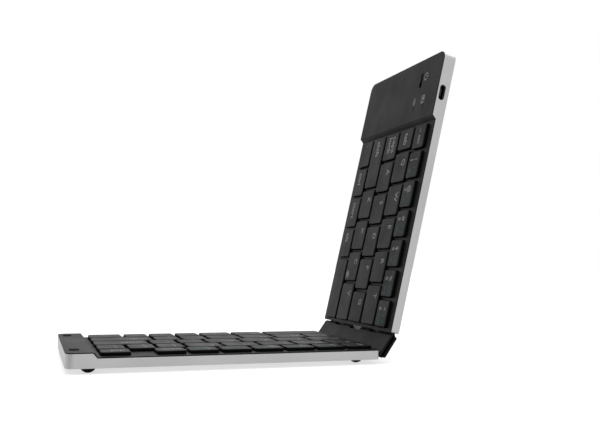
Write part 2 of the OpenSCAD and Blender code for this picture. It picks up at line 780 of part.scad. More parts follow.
// ---- Feet, pads and screws ----
// A foot: a domed cap with a small flat at its tip, on a base that fills its seat
dome_sphere_r = (foot_r * foot_r + pow(foot_h + foot_flat, 2)) / (2 * (foot_h + foot_flat));
module foot() {
    cylinder(foot_seat, r = foot_r);
    intersection() {
        translate([0, 0, dome_sphere_r - foot_h - foot_flat]) sphere(dome_sphere_r);
        translate([0, 0, -foot_h]) cylinder(foot_h + eps, r = foot_r);
    }
}

module foot_set() for (p = feet()) translate([p[0], p[1], 0]) foot();

module right_feet() color(rubber) at_right() foot_set();

module left_feet() color(rubber) at_left() foot_set();

module end_pads() color(rubber) at_right() for (p = pads)
    translate([p[0], p[1], panel_h - pad_seat]) cylinder(pad_seat + pad_proud, r = pad_r);

module screw_set(side) {
    for (p = bosses(side)) translate([p[0], p[1], 0]) screw(panel_screw_len);
    for (p = leaf_screws()) translate([p[0], p[1], 0]) screw(leaf_z + leaf_t);
}

module right_screws() color(steel) at_right() screw_set(RIGHT);

module left_screws() color(steel) at_left() screw_set(LEFT);

// ---- Electronics, in the left end panel ----
// The board with its controller, its radio can, and a light under each window
module main_board() color("#1f5b3a") at_left() {
    translate([board_x, board_y0, board_z]) cube([board_len, board_y1 - board_y0, board_t]);
    for (c = chips) translate([board_x + c[0], board_y0 + c[1], board_z + board_t - eps])
        cube([c[2], c[3], c[4] + eps]);
    for (p = leds)
        translate([p[0] - led_chip[0] / 2, p[1] - led_chip[1] / 2, board_z + board_t - eps])
            cube([led_chip[0], led_chip[1], led_chip[2] + eps]);
}

battery_r = 1.5;
module battery() color("#8d939b") at_left()
    translate([outer_x - wall_t - fill_from_wall - battery_len / 2, (battery_y0 + battery_y1) / 2,
        floor_t])
        linear_extrude(battery_h) rounded_rect(battery_len, battery_y1 - battery_y0, battery_r);

// A metal shell with a closed back and a contact tongue, open to the rear of the keyboard
socket_wall = 0.3;
socket_r = 0.6;
socket_back_t = 0.8;
socket_sunk = 0.4;
tongue = [4, 0.6];
tongue_offset = 0.2;
tongue_sunk = 1;
module charging_socket() color(steel) at_left()
    translate([outer_x - usb_from_end, depth / 2 - socket_sunk, usb_z]) rotate([90, 0, 0]) {
        linear_extrude(usb_d) difference() {
            rounded_rect(usb_len, usb_h, socket_r);
            rounded_rect(usb_len - 2 * socket_wall, usb_h - 2 * socket_wall,
                socket_r - socket_wall);
        }
        translate([0, 0, usb_d - socket_back_t]) linear_extrude(socket_back_t)
            rounded_rect(usb_len, usb_h, socket_r);
        translate([0, tongue_offset, tongue_sunk]) linear_extrude(usb_d - tongue_sunk)
            square(tongue, center = true);
    }

module status_windows() color("#dfe6ea") at_left() for (p = leds)
    translate([p[0], p[1], board_z + board_t + led_chip[2]])
        linear_extrude(panel_h - eps - board_z - board_t - led_chip[2])
            rounded_rect(led_len - 2 * led_clear, led_w - 2 * led_clear, led_w / 2 - led_clear - eps);

// The switch: a hollow body on the board, in which the knob's stem slides. The knob rests
// at the outer end of its slot and slides towards the hinge.
switch_body_len = switch_slot_len + 0.7;
switch_body_w = 3.6;
switch_body_z = board_z + board_t;
switch_air = 0.9;
switch_body_h = panel_h - deck_t - switch_air - switch_body_z;
switch_floor = 0.6;
stem_w = 1.2;
stem_len = 2;
stem_gap = 0.2;
switch_r = 0.3;
knob_rise = 0.15;
knob_z = switch_body_z + switch_body_h + knob_rise;
knob_x = switch_x + knob_travel / 2;
module switch_body() color("#2a2b2d") at_left()
    translate([switch_x, switch_y, switch_body_z]) difference() {
        linear_extrude(switch_body_h) rounded_rect(switch_body_len, switch_body_w, switch_r);
        translate([0, 0, switch_floor]) linear_extrude(switch_body_h)
            square([stem_len + knob_travel + 2 * stem_gap, stem_w + 2 * knob_clear], center = true);
    }

// The knob has finger grooves across its top
groove_w = 0.3;
groove_pitch = 0.8;
module switch_knob() color("#252628") at_left() translate([knob_x, switch_y, 0]) {
    difference() {
        translate([0, 0, knob_z]) linear_extrude(panel_h - knob_z)
            rounded_rect(knob_len, switch_slot_w - 2 * knob_clear, switch_r);
        for (i = [-1.5 : 1.5])
            translate([i * groove_pitch - groove_w / 2, -switch_slot_w, panel_h - groove_w])
                cube([groove_w, 2 * switch_slot_w, over]);
    }
    translate([0, 0, switch_body_z + switch_floor + stem_gap])
        linear_extrude(knob_z + eps - switch_body_z - switch_floor - stem_gap)
            square([stem_len, stem_w], center = true);
}

right_tray();
right_deck();
right_key_plate();
right_contact_sheet();
right_domes();
right_hinge_leaves();
right_feet();
right_screws();
end_pads();
spine_core();
spine_front_cover();
spine_back_cover();
hinge_pins();
flat_cable();
left_tray();
left_deck();
left_key_plate();
left_contact_sheet();
left_domes();
left_hinge_leaves();
left_feet();
left_screws();
main_board();
battery();
charging_socket();
status_windows();
switch_body();
switch_knob();
number_keys(RIGHT);  // right_number_keys
side_keys(RIGHT);  // right_side_keys
number_keys(LEFT);  // left_number_keys
side_keys(LEFT);  // left_side_keys
for (c = letters) letter_key(c);
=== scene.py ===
"""Looks of the folding keyboard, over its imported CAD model."""
import math

import bmesh
import bpy
from mathutils import Matrix, Vector


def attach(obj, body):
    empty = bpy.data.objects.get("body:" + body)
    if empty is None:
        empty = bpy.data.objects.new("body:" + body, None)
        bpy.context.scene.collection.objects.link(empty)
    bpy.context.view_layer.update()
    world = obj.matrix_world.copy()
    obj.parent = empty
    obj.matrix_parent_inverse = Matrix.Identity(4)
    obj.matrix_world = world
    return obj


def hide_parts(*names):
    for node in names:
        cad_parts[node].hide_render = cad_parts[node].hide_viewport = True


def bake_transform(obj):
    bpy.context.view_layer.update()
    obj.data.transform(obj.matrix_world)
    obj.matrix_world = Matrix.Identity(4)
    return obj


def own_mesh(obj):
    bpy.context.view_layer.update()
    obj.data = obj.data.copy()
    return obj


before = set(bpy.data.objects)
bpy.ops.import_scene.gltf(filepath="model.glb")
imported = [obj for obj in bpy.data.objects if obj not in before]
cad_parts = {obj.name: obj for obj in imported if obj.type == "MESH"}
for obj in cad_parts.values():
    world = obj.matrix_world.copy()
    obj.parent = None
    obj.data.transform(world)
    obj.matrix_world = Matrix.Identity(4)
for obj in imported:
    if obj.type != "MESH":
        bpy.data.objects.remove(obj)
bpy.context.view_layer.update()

# ---- Sizes, in millimetres, as in the CAD source ----
MM = 0.001
HALF_LEN = 150
DEPTH = 92
BED_H = 4.8
PANEL_H = 7.0
PANEL_LEN = {"left": 35.8, "right": 12.1}
STEP_RUN = 1.9
HINGE_GAP = 2.3
SHUT_GAP = 0.5
SPINE_LIFT = math.radians(55.5)
LEFT_LIFT = math.radians(77.3)
FOOT_H = 2.5

KEY_GAP = 2.0
KEY_TOP = 6.5
KEY_SKIRT = 4.2
KEY_CORNER = 1.2
KEY_WALL = 0.8
KEY_TOP_T = 0.9
REAR_MARGIN = 3.8
FRONT_MARGIN = 3.1
HINGE_MARGIN = 0.8
SLOPE_MARGIN = 0.7

# Top of the contact sheet, on which the domes stand
SUPPORT_Z = 2.65

CABLE_W = 12
CABLE_T = 0.2
CABLE_Z = 2.8
CABLE_RISE_X = 4.2
CABLE_END_X = 8.8

# Hinge leaves: where they stand on each side of the middle, their width, and the room beside them
STATION_Y = 24
LEAF_W = 9
LEAF_CLEAR = 0.3
# Half the width of the spine's window for the flat cable
FLEX_CUT = 6.5

# Printing stands this far above the surface that it is on
INK = 0.03

# The keys in reading order with the widths of their cells; None is a bare place
ROWS = {
    "left": [
        [("esc", 14.9), ("1", 16.2), ("2", 16), ("3", 16), ("4", 16), ("5", 16), ("6", 15.7)],
        [("tab", 13.5), ("q", 18.6), ("w", 18.6), ("e", 18.6), ("r", 18.6), ("t", 22.9)],
        [("caps", 17.3), ("a", 18.7), ("s", 18.7), ("d", 18.7), ("f", 18.7), ("g", 18.7)],
        [("shift", 32.1), ("z", 18.6), ("x", 18.6), ("c", 18.6), ("v", 22.9)],
        [("fn", 17.6), ("ctrl", 18.3), ("meta", 19.3), ("alt", 18.6), ("space", 37)],
    ],
    "right": [
        [("7", 14.3), ("8", 16), ("9", 16), ("0", 16), ("minus", 16), ("equals", 15.5),
         ("backspace", 15.4), (None, 10), ("delete", 15.3)],
        [("y", 16.8), ("u", 18.7), ("i", 18.7), ("o", 18.7), ("p", 18.7), ("open", 14.2),
         ("close", 14.1), ("backslash", 14.6)],
        [("h", 21.4), ("j", 18.8), ("k", 18.8), ("l", 18.8), ("semicolon", 14.4),
         ("quote", 14.2), ("enter", 28.1)],
        [("b", 16.9), ("n", 18.7), ("m", 18.7), ("comma", 18.7), ("stop", 14.5),
         ("slash", 14.4), ("shift", 32.6)],
        [("space", 35.5), ("alt", 19), ("ctrl", 18.6), ("left", 13.9), ("down", 14.6),
         ("up", 13.9), ("right", 19)],
    ],
}
ROW_DEPTHS = [14.2, 17.6, 17.8, 17.7, 17.8]

# What is printed on the keys: the lower mark, the upper one, and the teal second function
PAIRS = {
    "1": ("1", "!", "F1"), "2": ("2", "@", "F2"), "3": ("3", "#", "F3"), "4": ("4", "$", "F4"),
    "5": ("5", "%", "F5"), "6": ("6", "^", "F6"), "7": ("7", "&", "F7"), "8": ("8", "*", "F8"),
    "9": ("9", "(", "F9"), "0": ("0", ")", "F10"), "minus": ("-", "_", "F11"),
    "equals": ("=", "+", "F12"), "open": ("[", "{", ""), "close": ("]", "}", ""),
    "backslash": ("\\", "|", ""), "semicolon": (";", ":", ""), "quote": ("'", '"', ""),
    "comma": (",", "<", ""), "stop": (".", ">", ""), "slash": ("/", "?", ""),
}
WORDS = {
    "esc": "~ esc", "tab": "tab", "caps": "caps\nlock", "shift": "shift", "ctrl": "ctrl",
    "meta": "start", "alt": "alt", "backspace": "back", "delete": "del", "enter": "enter",
}
ARROWS = {"right": 0, "up": 90, "left": 180, "down": 270}

# ---- The two halves ----
AXIS_H = BED_H / 2
AXIS_SPAN = 2 * (PANEL_H - AXIS_H) + SHUT_GAP
OUTER_X = HINGE_GAP + HALF_LEN
REACH_LEFT = (AXIS_SPAN * math.cos(SPINE_LIFT) + OUTER_X * math.cos(LEFT_LIFT)
              + AXIS_H * math.sin(LEFT_LIFT))
RIGHT_AXIS = Vector(((REACH_LEFT - OUTER_X) / 2, 0, FOOT_H + AXIS_H))
SPINE_RUN = Vector((-math.cos(SPINE_LIFT), 0, math.sin(SPINE_LIFT)))
LEFT_AXIS = RIGHT_AXIS + AXIS_SPAN * SPINE_RUN

# A half's typing frame: X to the typist's right from the hinge axis, Y to the rear, and Z up
# from the underside of the tray, all in millimetres
LOWER = Matrix.Translation((0, 0, -AXIS_H))
TYPING = {
    "right": Matrix.Scale(MM, 4) @ Matrix.Translation(RIGHT_AXIS) @ LOWER,
    "left": Matrix.Scale(MM, 4) @ Matrix.Translation(LEFT_AXIS)
    @ Matrix.Rotation(LEFT_LIFT, 4, "Y") @ LOWER,
}


def key_cells(side):
    """Every key of a half as (row, name, x, y, width, depth), in its typing frame."""
    start = HINGE_GAP + HINGE_MARGIN
    end = OUTER_X - PANEL_LEN[side] - STEP_RUN - SLOPE_MARGIN
    down_scale = (DEPTH - REAR_MARGIN - FRONT_MARGIN) / sum(ROW_DEPTHS)
    y = DEPTH / 2 - REAR_MARGIN
    cells = []
    for row, (keys, depth) in enumerate(zip(ROWS[side], ROW_DEPTHS)):
        scale = (end - start) / sum(width for _, width in keys)
        x = start if side == "right" else -end
        for name, width in keys:
            if name:
                cells.append((row, name, x + scale * width / 2, y - down_scale * depth / 2,
                              scale * width - KEY_GAP, down_scale * depth - KEY_GAP))
            x += scale * width
        y -= down_scale * depth
    return cells


def key_body(side, row, name):
    """The CAD body, and node, that a key is part of."""
    if row == 0:
        return f"{side}_number_keys"
    return f"key_{name}" if len(name) == 1 else f"{side}_side_keys"


# ---- Shader node groups ----
def new_group(name, inputs, outputs):
    """An empty shader group with named sockets, and its two end nodes."""
    group = bpy.data.node_groups.new(name, "ShaderNodeTree")
    for label, kind, value in inputs:
        socket = group.interface.new_socket(label, in_out="INPUT", socket_type=kind)
        if value is not None:
            socket.default_value = value
    for label, kind in outputs:
        group.interface.new_socket(label, in_out="OUTPUT", socket_type=kind)
    return group, group.nodes.new("NodeGroupInput"), group.nodes.new("NodeGroupOutput")


def object_noise(group, scale, detail):
    """A noise texture over the object's own coordinates, in metres."""
    place = group.nodes.new("ShaderNodeTexCoord")
    noise = group.nodes.new("ShaderNodeTexNoise")
    noise.inputs["Detail"].default_value = detail
    group.links.new(place.outputs["Object"], noise.inputs["Vector"])
    group.links.new(scale, noise.inputs["Scale"])
    return noise.outputs["Fac"]


def remap(group, value, low, high, to_low, to_high):
    """value from low..high to to_low..to_high, each a number or a socket."""
    node = group.nodes.new("ShaderNodeMapRange")
    for socket, given in zip(node.inputs[:5], (value, low, high, to_low, to_high)):
        if isinstance(given, (int, float)):
            socket.default_value = given
        else:
            group.links.new(given, socket)
    return node.outputs["Result"]


def make_moulded_grain():
    """Spark-eroded mould texture: a height, and a mask of its small pits."""
    group, given, result = new_group(
        "Moulded grain",
        [("Grain per metre", "NodeSocketFloat", 4000.0)],
        [("Height", "NodeSocketFloat"), ("Pits", "NodeSocketFloat")])
    fine = object_noise(group, given.outputs["Grain per metre"], 4)
    height = remap(group, fine, 0.3, 0.7, 0, 1)
    group.links.new(height, result.inputs["Height"])
    group.links.new(remap(group, fine, 0.34, 0.46, 1, 0), result.inputs["Pits"])
    return group


def make_handling():
    """Slow patches where hands have polished or dulled a surface."""
    group, given, result = new_group(
        "Handling",
        [("Patches per metre", "NodeSocketFloat", 60.0), ("Low", "NodeSocketFloat", 0.4),
         ("High", "NodeSocketFloat", 0.5)],
        [("Roughness", "NodeSocketFloat"), ("Patches", "NodeSocketFloat")])
    slow = object_noise(group, given.outputs["Patches per metre"], 5)
    group.links.new(remap(group, slow, 0.35, 0.65, 0, 1), result.inputs["Patches"])
    group.links.new(remap(group, slow, 0.35, 0.65, given.outputs["Low"], given.outputs["High"]),
                    result.inputs["Roughness"])
    return group


def make_two_tone():
    """A colour that wanders between two close ones."""
    group, given, result = new_group(
        "Two tone",
        [("Mask", "NodeSocketFloat", 0.5), ("Main", "NodeSocketColor", None),
         ("Other", "NodeSocketColor", None)],
        [("Color", "NodeSocketColor")])
    mix = group.nodes.new("ShaderNodeMix")
    mix.data_type = "RGBA"
    group.links.new(given.outputs["Mask"], mix.inputs["Factor"])
    group.links.new(given.outputs["Main"], mix.inputs[6])
    group.links.new(given.outputs["Other"], mix.inputs[7])
    group.links.new(mix.outputs[2], result.inputs["Color"])
    return group


def make_drawn_lines():
    """Fine parallel lines left by drawing or brushing, along X."""
    group, given, result = new_group(
        "Drawn lines",
        [("Lines per metre", "NodeSocketFloat", 9000.0)],
        [("Height", "NodeSocketFloat"), ("Streaks", "NodeSocketFloat")])
    place = group.nodes.new("ShaderNodeTexCoord")
    stretch = group.nodes.new("ShaderNodeMapping")
    stretch.inputs["Scale"].default_value = (0.04, 1, 1)
    noise = group.nodes.new("ShaderNodeTexNoise")
    noise.inputs["Detail"].default_value = 3
    group.links.new(place.outputs["Object"], stretch.inputs["Vector"])
    group.links.new(stretch.outputs["Vector"], noise.inputs["Vector"])
    group.links.new(given.outputs["Lines per metre"], noise.inputs["Scale"])
    group.links.new(noise.outputs["Fac"], result.inputs["Height"])
    group.links.new(remap(group, noise.outputs["Fac"], 0.35, 0.65, 0, 1),
                    result.inputs["Streaks"])
    return group


def make_stripes():
    """Conductors side by side across Y: 1 on a conductor and 0 between."""
    group, given, result = new_group(
        "Stripes",
        [("Stripes per metre", "NodeSocketFloat", 1000.0), ("Share", "NodeSocketFloat", 0.5)],
        [("Mask", "NodeSocketFloat")])
    place = group.nodes.new("ShaderNodeTexCoord")
    split = group.nodes.new("ShaderNodeSeparateXYZ")
    count = group.nodes.new("ShaderNodeMath")
    count.operation = "MULTIPLY"
    part = group.nodes.new("ShaderNodeMath")
    part.operation = "FRACT"
    below = group.nodes.new("ShaderNodeMath")
    below.operation = "LESS_THAN"
    group.links.new(place.outputs["Object"], split.inputs["Vector"])
    group.links.new(split.outputs["Y"], count.inputs[0])
    group.links.new(given.outputs["Stripes per metre"], count.inputs[1])
    group.links.new(count.outputs["Value"], part.inputs[0])
    group.links.new(part.outputs["Value"], below.inputs[0])
    group.links.new(given.outputs["Share"], below.inputs[1])
    group.links.new(below.outputs["Value"], result.inputs["Mask"])
    return group


GRAIN = make_moulded_grain()
HANDLING = make_handling()
TWO_TONE = make_two_tone()
LINES = make_drawn_lines()
STRIPES = make_stripes()


# ---- Materials ----
def srgb(*values):
    """A colour given in the numbers 0 to 255 that a screen shows, as Blender wants it."""
    linear = [(v / 255 / 12.92) if v <= 10 else ((v / 255 + 0.055) / 1.055) ** 2.4 for v in values]
    return (*linear, 1.0)


def new_material(name, **sockets):
    """A material with only a Principled shader, its sockets set by name."""
    material = bpy.data.materials.new(name)
    material.use_nodes = True
    shader = material.node_tree.nodes["Principled BSDF"]
    for label, value in sockets.items():
        shader.inputs[label.replace("_", " ")].default_value = value
    return material, shader


def place(material, group, **values):
    """One of the groups as a node of a material, with its inputs set by name."""
    node = material.node_tree.nodes.new("ShaderNodeGroup")
    node.node_tree = group
    for label, value in values.items():
        node.inputs[label.replace("_", " ")].default_value = value
    return node


def join(material, output, socket):
    material.node_tree.links.new(output, socket)


def eased_bump(material, shader, height, depth, ease):
    """Bump of that depth, on edges that look eased by a radius; both in millimetres."""
    bump = material.node_tree.nodes.new("ShaderNodeBump")
    bump.inputs["Distance"].default_value = depth * MM
    join(material, height, bump.inputs["Height"])
    if ease:
        bevel = material.node_tree.nodes.new("ShaderNodeBevel")
        bevel.samples = 6
        bevel.inputs["Radius"].default_value = ease * MM
        join(material, bevel.outputs["Normal"], bump.inputs["Normal"])
    join(material, bump.outputs["Normal"], shader.inputs["Normal"])


def moulded(name, main, other, low, high, grain=4000.0, depth=0.01, ease=0.15, patches=60.0,
            **sockets):
    """Moulded plastic or rubber: grain, handling, and a colour that varies a little."""
    material, shader = new_material(name, **sockets)
    texture = place(material, GRAIN, Grain_per_metre=grain)
    handled = place(material, HANDLING, Patches_per_metre=patches, Low=low, High=high)
    tone = place(material, TWO_TONE, Main=main, Other=other)
    join(material, texture.outputs["Pits"], tone.inputs["Mask"])
    join(material, tone.outputs["Color"], shader.inputs["Base Color"])
    join(material, handled.outputs["Roughness"], shader.inputs["Roughness"])
    eased_bump(material, shader, texture.outputs["Height"], depth, ease)
    return material


def drawn_metal(name, main, other, low, high, lines=9000.0, depth=0.004, ease=0.05):
    """Drawn or brushed metal, with streaks in its colour and its shine."""
    material, shader = new_material(name, Metallic=1.0)
    texture = place(material, LINES, Lines_per_metre=lines)
    handled = place(material, HANDLING, Patches_per_metre=200.0, Low=low, High=high)
    tone = place(material, TWO_TONE, Main=main, Other=other)
    join(material, texture.outputs["Streaks"], tone.inputs["Mask"])
    join(material, tone.outputs["Color"], shader.inputs["Base Color"])
    join(material, handled.outputs["Roughness"], shader.inputs["Roughness"])
    eased_bump(material, shader, texture.outputs["Height"], depth, ease)
    return material


def blasted_aluminium(name, main, other, low, high):
    """Bead-blasted and anodised aluminium: a very fine grain under a satin shine."""
    material, shader = new_material(name, Metallic=1.0)
    texture = place(material, GRAIN, Grain_per_metre=9000.0)
    handled = place(material, HANDLING, Patches_per_metre=35.0, Low=low, High=high)
    tone = place(material, TWO_TONE, Main=main, Other=other)
    join(material, handled.outputs["Patches"], tone.inputs["Mask"])
    join(material, tone.outputs["Color"], shader.inputs["Base Color"])
    join(material, handled.outputs["Roughness"], shader.inputs["Roughness"])
    eased_bump(material, shader, texture.outputs["Height"], 0.004, 0.2)
    return material


def printed_film(name, film, ink, per_metre, share, roughness):
    """Film or laminate with conductors printed across it."""
    material, shader = new_material(name, Roughness=roughness)
    tracks = place(material, STRIPES, Stripes_per_metre=per_metre, Share=share)
    tone = place(material, TWO_TONE, Main=film, Other=ink)
    join(material, tracks.outputs["Mask"], tone.inputs["Mask"])
    join(material, tone.outputs["Color"], shader.inputs["Base Color"])
    eased_bump(material, shader, tracks.outputs["Mask"], 0.01, 0)
    return material


DECK = moulded("Deck, fine matt black", srgb(11, 11, 11), srgb(9, 9, 9), 0.5, 0.58,
               grain=5000.0, ease=0.2, Specular_IOR_Level=0.16)
KEYCAP = moulded("Keycap, matt black", srgb(14, 14, 15), srgb(11, 11, 12), 0.46, 0.56,
                 grain=6000.0, depth=0.006, ease=0, patches=90.0, Specular_IOR_Level=0.18)
# The caps' sides: the cap plastic made darker and less shiny, as painted shade down the sides of
# the keys
KEY_SIDE_SHADE = moulded("Keycap side, black darkened as painted shade", srgb(7, 7, 8), srgb(6, 6, 7), 0.6, 0.7,
                   grain=6000.0, depth=0.006, ease=0, Specular_IOR_Level=0.03)
SPINE_COVER = moulded("Spine cover, fine matt black", srgb(11, 11, 12), srgb(9, 9, 10),
                      0.5, 0.6, grain=5000.0, Specular_IOR_Level=0.14)
SPINE_CORE = moulded("Spine core, black", srgb(5, 5, 6), srgb(4, 4, 5), 0.6, 0.7,
                     Specular_IOR_Level=0.04)
# Black switch plastic, darker and with almost no shine so that its slot reads dark: partly its own
# black, partly painted shade in the slot
SWITCH = moulded("Switch, black with painted shade", srgb(6, 6, 7), srgb(5, 5, 6), 0.45, 0.55,
                 Specular_IOR_Level=0.02)
RUBBER = moulded("Feet and pads, black rubber", srgb(16, 16, 16), srgb(12, 12, 12), 0.7, 0.82,
                 grain=2500.0, depth=0.02, ease=0.1, Specular_IOR_Level=0.08)
DOME = moulded("Dome, milky rubber", srgb(206, 206, 200), srgb(190, 190, 184), 0.35, 0.45,
               Subsurface_Weight=0.2, Subsurface_Scale=0.001)
WINDOW = moulded("Status window, smoked", srgb(5, 6, 7), srgb(4, 4, 5), 0.3, 0.4,
                 grain=1500.0, depth=0.002, ease=0.05, Specular_IOR_Level=0.02)
GREY_INK = moulded("Legend, grey ink", srgb(138, 139, 142), srgb(118, 119, 122),
                   0.5, 0.6, grain=7000.0, depth=0.003, ease=0, Specular_IOR_Level=0.1)
TEAL_INK = moulded("Legend, teal ink", srgb(50, 70, 74), srgb(44, 62, 66),
                   0.5, 0.6, grain=7000.0, depth=0.003, ease=0, Specular_IOR_Level=0.1)
TRAY = blasted_aluminium("Tray, satin anodised", srgb(186, 186, 187), srgb(181, 181, 182),
                         0.36, 0.42)
STEEL = drawn_metal("Hinge steel, blackened", srgb(40, 41, 42), srgb(32, 33, 34), 0.4, 0.5)
PLATE = drawn_metal("Key plate steel", srgb(120, 122, 126), srgb(104, 106, 110), 0.35, 0.5)
SCREW = drawn_metal("Screw steel", srgb(150, 151, 154), srgb(126, 127, 130), 0.3, 0.4)
# Socket steel darkened so that its opening reads dark: painted shade inside the opening
SOCKET = drawn_metal("Charging socket, steel darkened as painted shade", srgb(60, 61, 63), srgb(48, 49, 51),
                     0.3, 0.4)
POUCH = drawn_metal("Battery pouch, foil", srgb(170, 173, 178), srgb(156, 159, 164), 0.25, 0.4,
                    lines=1500.0, depth=0.03)
BOARD = printed_film("Board, green laminate", srgb(28, 92, 60), srgb(44, 116, 78), 900.0, 0.4,
                     0.4)
CONTACT = printed_film("Contact film, printed", srgb(120, 128, 122), srgb(84, 92, 90), 400.0,
                       0.3, 0.5)
CABLE = printed_film("Flat cable, black film", srgb(16, 16, 17), srgb(21, 20, 20), 1100.0,
                     0.55, 0.35)

# ---- Mesh helpers; all of them work in millimetres ----
CORNER_STEPS = 5
# Edges that turn by more than this stay crisp
CRISP_ANGLE = math.radians(40)


def rounded_ring(width, depth, radius, z, centre):
    """Points round a rectangle with round corners, in order."""
    points = []
    for quarter, (sx, sy) in enumerate(((1, 1), (-1, 1), (-1, -1), (1, -1))):
        for step in range(CORNER_STEPS):
            angle = math.pi / 2 * (quarter + step / (CORNER_STEPS - 1))
            points.append(Vector((
                centre[0] + sx * (width / 2 - radius) + radius * math.cos(angle),
                centre[1] + sy * (depth / 2 - radius) + radius * math.sin(angle), z)))
    return points


def add_rings(mesh, rings, first=0, last=0, change=0):
    """A closed skin through rings with the same number of points, capped at both ends.

    It has the material first up to the ring numbered change, and the material last from there.
    """
    made = [[mesh.verts.new(point) for point in ring] for ring in rings]
    mesh.faces.new(made[0][::-1]).material_index = first
    mesh.faces.new(made[-1]).material_index = last
    for number, (lower, upper) in enumerate(zip(made, made[1:])):
        for i in range(len(lower)):
            j = (i + 1) % len(lower)
            face = mesh.faces.new((lower[i], lower[j], upper[j], upper[i]))
            face.smooth = True
            face.material_index = first if number < change else last


def add_sheet(mesh, points, faces, material):
    """Flat printing, given as points and faces."""
    made = [mesh.verts.new(point) for point in points]
    for face in faces:
        if len(set(face)) > 2:
            mesh.faces.new([made[i] for i in face]).material_index = material


def add_stroke(mesh, path, width, z, material, closed=False):
    """A flat printed line of even width along a path of (x, y)."""
    points = [Vector(p) for p in path]
    count = len(points)
    edges = []
    for i, point in enumerate(points):
        before = points[i - 1] if i or closed else point
        after = points[(i + 1) % count] if i + 1 < count or closed else point
        into = (point - before).normalized() if point != before else (after - point).normalized()
        out = (after - point).normalized() if point != after else into
        side = Vector((-(into + out).y, (into + out).x)).normalized()
        reach = width / 2 / max(side.dot(Vector((-into.y, into.x))), 0.3)
        edges += [point + reach * side, point - reach * side]
    spans = range(count if closed else count - 1)
    faces = [(2 * i, 2 * i + 1, (2 * i + 3) % (2 * count), (2 * i + 2) % (2 * count))
             for i in spans]
    add_sheet(mesh, [(p.x, p.y, z) for p in edges], faces, material)


GLYPHS = {}


def glyphs(text):
    """The flat mesh of a text, 1 high in its capitals and standing at the origin."""
    if text not in GLYPHS:
        curve = bpy.data.curves.new("legend", "FONT")
        curve.body = text
        curve.resolution_u = 3
        curve.space_line = 0.95
        curve.offset = 0.015
        item = bpy.data.objects.new("legend", curve)
        bpy.context.scene.collection.objects.link(item)
        bpy.context.view_layer.update()
        flat = item.to_mesh()
        GLYPHS[text] = ([v.co.copy() for v in flat.vertices],
                        [tuple(f.vertices) for f in flat.polygons])
        item.to_mesh_clear()
        bpy.data.objects.remove(item)
        bpy.data.curves.remove(curve)
    return GLYPHS[text]


def text_length(text):
    """Length of a text of size 1."""
    across = [p[0] for p in glyphs(text)[0]]
    return max(across) - min(across)


def add_text(mesh, text, x, y, size, z, material, anchor=(0, 0)):
    """Printed text whose box has its anchor at (x, y).

    The anchor is a share of the box: (0, 0) is its lower left corner and (1, 1) its upper right.
    """
    points, faces = glyphs(text)
    low = [min(p[i] for p in points) for i in (0, 1)]
    high = [max(p[i] for p in points) for i in (0, 1)]
    dx = x / size - low[0] - anchor[0] * (high[0] - low[0])
    dy = y / size - low[1] - anchor[1] * (high[1] - low[1])
    add_sheet(mesh, [((p[0] + dx) * size, (p[1] + dy) * size, z) for p in points], faces, material)


def finish_piece(name, mesh, materials, matrix):
    """A bmesh in millimetres as an object in place, with crisp edges kept crisp."""
    data = bpy.data.meshes.new(name)
    mesh.to_mesh(data)
    mesh.free()
    data.transform(matrix)
    data.set_sharp_from_angle(angle=CRISP_ANGLE)
    for material in materials:
        data.materials.append(material)
    item = bpy.data.objects.new(name, data)
    bpy.context.scene.collection.objects.link(item)
    return item


# ---- Keycaps ----
# Inset and height of each ring, from the hollow underside round to the flat top
CAP_RINGS = [
    (KEY_WALL, KEY_TOP - KEY_TOP_T), (KEY_WALL, KEY_SKIRT), (0, KEY_SKIRT), (0, KEY_TOP - 0.55),
    (0.04, KEY_TOP - 0.32), (0.13, KEY_TOP - 0.15), (0.3, KEY_TOP - 0.04), (0.52, KEY_TOP),
    (0.85, KEY_TOP),
]
# The ring at which a cap's side, darker and duller as painted shade, ends and its satin top begins
TOP_FROM_RING = 4
# Least radius of a ring's corners
LEAST_CORNER = 0.3
# Places of the cap's materials in its list
PLASTIC, GREY, TEAL, SIDE_SHADE = 0, 1, 2, 3
# Type sizes of the legends
LETTER_EM, WORD_EM, PAIR_EM, SECOND_EM = 5.0, 5.6, 4.2, 5.0
# Distances of the legends from a cap's sides, and of a word from its middle line
LEFT_INSET, RIGHT_INSET, REAR_INSET, FRONT_INSET = 3.9, 3.9, 2.6, 2.2
WORD_INSET = 2.1
WORD_RISE = 0.4
# How far the marks of a pair stand to the right of where a letter stands
PAIR_SHIFT = 0.5


def add_keycap(mesh, x, y, width, depth):
    add_rings(mesh, [
        rounded_ring(width - 2 * inset, depth - 2 * inset,
                     max(KEY_CORNER - inset, LEAST_CORNER), z, (x, y))
        for inset, z in CAP_RINGS], SIDE_SHADE, PLASTIC, TOP_FROM_RING)


# Line width of an arrow, the ends of its shaft, and its tip and barbs
ARROW_LINE = 0.4
SHAFT_FROM, SHAFT_TO = -1.5, 1.35
ARROW_TIP, BARB_BACK, BARB_OUT = 1.5, 0.25, 1.15


def add_arrow(mesh, x, y, turn, z):
    """A printed arrow, its tip turned anticlockwise from the right."""
    spin = Matrix.Rotation(math.radians(turn), 2)

    def at(u, v):
        p = spin @ Vector((u, v))
        return (x + p.x, y + p.y)

    add_stroke(mesh, [at(SHAFT_FROM, 0), at(SHAFT_TO, 0)], ARROW_LINE, z, GREY)
    add_stroke(mesh, [at(BARB_BACK, BARB_OUT), at(ARROW_TIP, 0), at(BARB_BACK, -BARB_OUT)],
               ARROW_LINE, z, GREY)


# The link badge: radius of its disc and of the ring round it, the ring's line, and its place
DISC_R, RING_R, RING_LINE = 1.15, 1.85, 0.45
BADGE_STEPS = 16
BADGE_RIGHT, BADGE_FRONT = 3.6, 3.2


